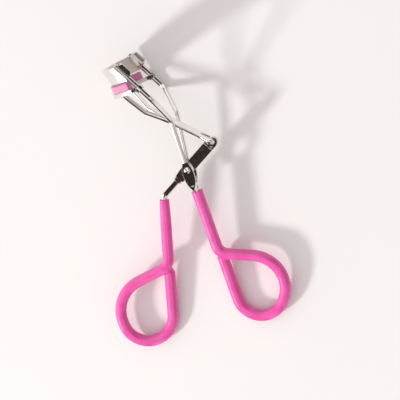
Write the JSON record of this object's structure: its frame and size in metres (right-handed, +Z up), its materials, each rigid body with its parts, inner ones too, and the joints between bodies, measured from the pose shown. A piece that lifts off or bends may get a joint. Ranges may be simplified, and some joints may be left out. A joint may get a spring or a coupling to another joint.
{
  "type": "eyelash curler",
  "caption": "Scissor-style eyelash curler: wire frame with dipped finger loops, fixed curved upper jaw and a padded lower jaw that slides along the rails as the loops are squeezed and spread.",
  "frame": {"origin": "bottom centre of the whole object's box, with the tool lying on its side", "axes": "+Y from the finger loops towards the jaws, +Z up, along the pivot axis, +X to the right, towards the yoke hinge"},
  "size_m": [0.0688, 0.1084, 0.0304],
  "materials": {
    "chrome": "bright nickel or chrome plating on steel",
    "dipped_pvc": "glossy pink dip-coated soft vinyl",
    "silicone_pad": "satin hot pink silicone rubber"
  },
  "bodies": {
    "frame": {"fixed_jaw": "chrome", "near_frame_wire": "chrome", "far_frame_wire": "chrome", "right_grip": "dipped_pvc", "pivot_rivet": "chrome", "pivot_washer": "chrome"},
    "lever": {"lever_channel": "chrome", "left_handle_wire": "chrome", "left_grip": "dipped_pvc"},
    "pusher": {"yoke_wire": "chrome", "moving_jaw": "chrome", "pad": "silicone_pad"}
  },
  "joints": [
    {"name": "lever_squeeze", "type": "hinge", "parent": "frame", "child": "lever", "pos_m": [-0.00332, 0.01423, 0.0152], "axis": [0, 0, 1], "range_deg": [-15, 1.5]},
    {"name": "yoke_swing", "type": "hinge", "parent": "lever", "child": "pusher", "pos_m": [0.00548, 0.02453, 0.0152], "axis": [0, 0, 1], "range_deg": [-1.6, 14.6]}
  ],
  "couplings": [
    {"joint": "yoke_swing", "follows": "lever_squeeze", "ratio": -0.965}
  ]
}
